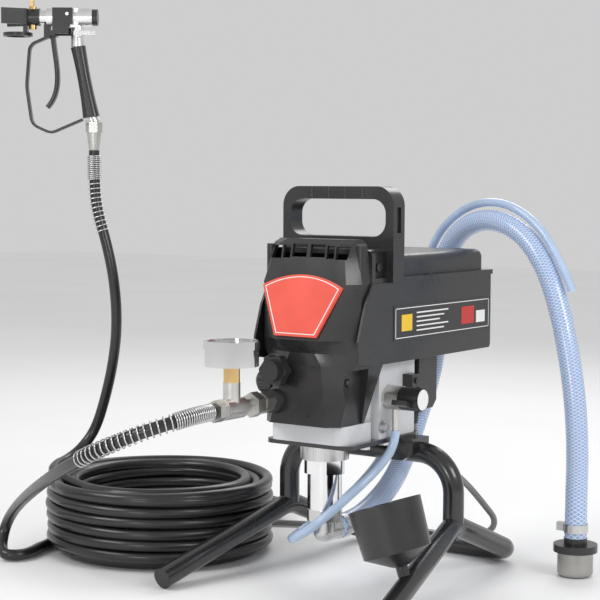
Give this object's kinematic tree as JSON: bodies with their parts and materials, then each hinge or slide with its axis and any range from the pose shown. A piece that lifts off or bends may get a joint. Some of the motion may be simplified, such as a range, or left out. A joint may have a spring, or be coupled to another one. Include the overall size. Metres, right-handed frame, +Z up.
{
  "type": "airless paint sprayer",
  "caption": "Electric airless paint sprayer on a bent tube stand, with pressure gauge, drip cup, suction hose, coiled pressure hose and hand spray gun.",
  "frame": {"origin": "on the floor, at the middle of the footprint of everything but the cords and what is on them", "axes": "+X to the machine's right, +Y to its rear, +Z up"},
  "size_m": [0.6696, 0.5481, 0.631],
  "materials": {
    "black_plastic": "satin",
    "black_paint": "gloss",
    "black_rubber": "matte",
    "steel": "brushed",
    "chrome": "polished",
    "zinc": "satin",
    "aluminium": "satin",
    "brass": "satin",
    "red_plastic": "satin",
    "label_film": "satin",
    "grey_casting": "satin",
    "dial_white": "matte",
    "clear_cover": "clear",
    "needle_black": "matte",
    "black_hose": "satin",
    "braided_clear": "satin",
    "clear_tube": "satin",
    "grey_lead": "satin",
    "mesh": "woven"
  },
  "bodies": {
    "machine": {"arch_brackets": "black_paint", "base_bolts": "steel", "base_plate": "black_paint", "body_shell": "black_plastic", "carry_handle": "black_plastic", "cover_screws": "black_plastic", "drain_valve_body": "zinc", "drip_cup": "black_plastic", "drive_housing": "grey_casting", "filter_cap": "black_plastic", "foot_caps": "black_rubber", "front_cover": "black_plastic", "front_panel": "red_plastic", "gauge_adaptor": "brass", "gauge_case": "chrome", "gauge_dial": "dial_white", "gauge_glass": "clear_cover", "gauge_tee": "zinc", "gun_body": "aluminium", "gun_grip": "black_plastic", "gun_rear_cap": "black_plastic", "gun_swivel": "zinc", "gun_tip_guard": "black_plastic", "gun_trigger_guard": "black_plastic", "hose_clamps": "steel", "inlet_ball": "steel", "inlet_elbow": "steel", "inlet_valve_housing": "steel", "mains_gland": "black_rubber", "mains_lead": "grey_lead", "mains_lead_coil": "grey_lead", "mains_plug": "grey_lead", "motor_can": "steel", "motor_lid": "black_plastic", "outlet_boss": "black_rubber", "outlet_nuts": "zinc", "pressure_hose": "black_hose", "pressure_hose_coil": "black_hose", "pump_collar": "steel", "pump_cylinder": "chrome", "pump_nut": "chrome", "rear_shroud": "black_plastic", "return_tube": "clear_tube", "side_label": "label_film", "stand_arch": "black_paint", "stand_floor_tube": "black_paint", "strainer_cap": "black_plastic", "strainer_mesh": "mesh", "suction_hose": "braided_clear", "terminal_box": "black_plastic"},
    "pressure_knob": {"pressure_knob": "black_plastic"},
    "drain_knob": {"drain_knob": "black_plastic"},
    "gauge_needle": {"gauge_needle": "needle_black"},
    "power_switch": {"power_switch": "black_plastic"},
    "rotor": {"motor_rotor": "steel"},
    "drive_gear": {"drive_gear": "steel"},
    "piston_rod": {"piston_rod": "steel"},
    "gun_trigger": {"gun_trigger": "black_plastic"},
    "gun_lock": {"gun_lock_lever": "steel"},
    "spray_tip": {"gun_spray_tip": "brass"}
  },
  "joints": [
    {"name": "pressure_knob_turn", "type": "hinge", "parent": "machine", "child": "pressure_knob", "pos_m": [0.13323, -0.102, 0.23], "axis": [0, -1, 0], "range_deg": [0, 270]},
    {"name": "drain_knob_turn", "type": "hinge", "parent": "machine", "child": "drain_knob", "pos_m": [0.23223, -0.007, 0.199], "axis": [1, 0, 0], "range_deg": [0, 90]},
    {"name": "gauge_needle_turn", "type": "hinge", "parent": "machine", "child": "gauge_needle", "pos_m": [0.12723, -0.166, 0.257], "axis": [0, 0, -1], "range_deg": [0, 270]},
    {"name": "power_switch_rock", "type": "hinge", "parent": "machine", "child": "power_switch", "pos_m": [0.15723, 0.0925, 0.204], "axis": [1, 0, 0], "range_deg": [0, 20]},
    {"name": "motor_spin", "type": "hinge", "parent": "machine", "child": "rotor", "pos_m": [0.15723, 0.103, 0.282], "axis": [0, 1, 0], "continuous": true},
    {"name": "crank_spin", "type": "hinge", "parent": "machine", "child": "drive_gear", "pos_m": [0.15723, -0.007, 0.2466], "axis": [0, 1, 0], "continuous": true},
    {"name": "piston_stroke", "type": "slide", "parent": "machine", "child": "piston_rod", "axis": [0, 0, 1], "range_m": [-0.006, 0.006]},
    {"name": "gun_trigger_pull", "type": "hinge", "parent": "machine", "child": "gun_trigger", "pos_m": [-0.22752, -0.01363, 0.612], "axis": [0.5736, -0.8192, 0], "range_deg": [0, 12], "stiffness_Nm_per_rad": 0.6},
    {"name": "gun_lock_turn", "type": "hinge", "parent": "machine", "child": "gun_lock", "pos_m": [-0.21196, -0.01494, 0.59], "axis": [-0.5736, 0.8192, 0], "range_deg": [0, 80]},
    {"name": "spray_tip_turn", "type": "hinge", "parent": "machine", "child": "spray_tip", "pos_m": [-0.26152, -0.03744, 0.609], "axis": [0, 0, 1], "range_deg": [0, 180]}
  ],
  "couplings": [
    {"joint": "motor_spin", "follows": "crank_spin", "ratio": -4}
  ]
}
